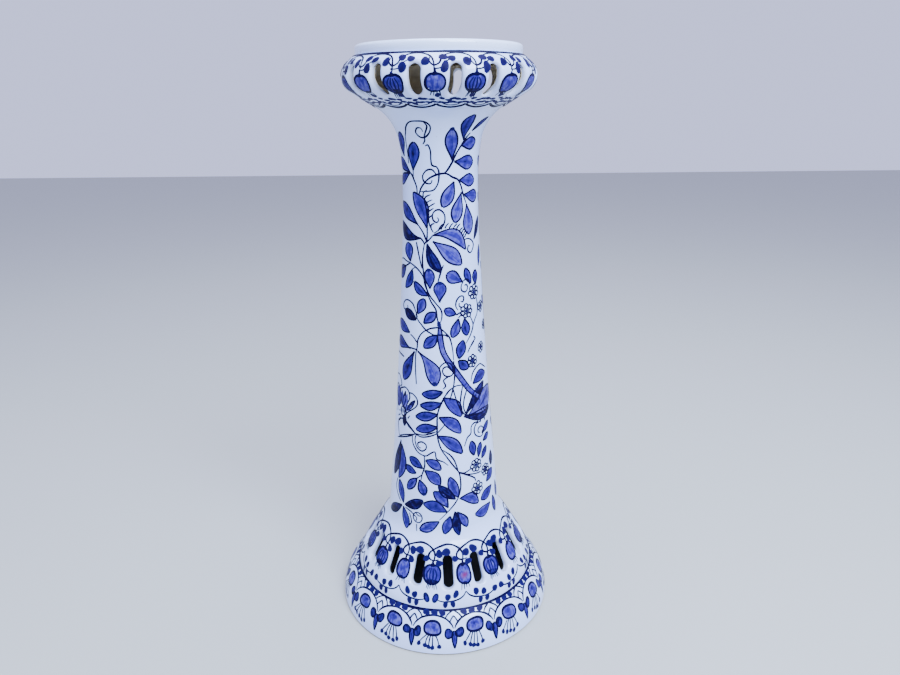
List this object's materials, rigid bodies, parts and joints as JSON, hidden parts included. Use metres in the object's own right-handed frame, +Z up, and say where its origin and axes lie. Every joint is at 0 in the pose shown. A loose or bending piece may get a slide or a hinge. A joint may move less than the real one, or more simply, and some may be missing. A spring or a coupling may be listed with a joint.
{
  "type": "pedestal plant stand",
  "caption": "Tall hollow glazed earthenware pedestal with flared foot, pierced dome, tapering shaft and pierced gallery, made to carry a plant pot at standing height.",
  "frame": {"origin": "centre of the foot, on the floor", "axes": "+Z up along the stand's own axis; -Y is the side seen in the picture, +X to its right"},
  "size_m": [0.3056, 0.3056, 0.76],
  "materials": {
    "painted_glaze": "glossy tin glaze, painted by hand in cobalt blue",
    "plain_glaze": "glossy plain white tin glaze"
  },
  "bodies": {
    "root": {"base_skirt": "painted_glaze", "pierced_dome": "painted_glaze", "shaft": "painted_glaze", "pierced_gallery": "painted_glaze", "seat_plate": "plain_glaze", "rim_ring": "plain_glaze"}
  },
  "joints": []
}
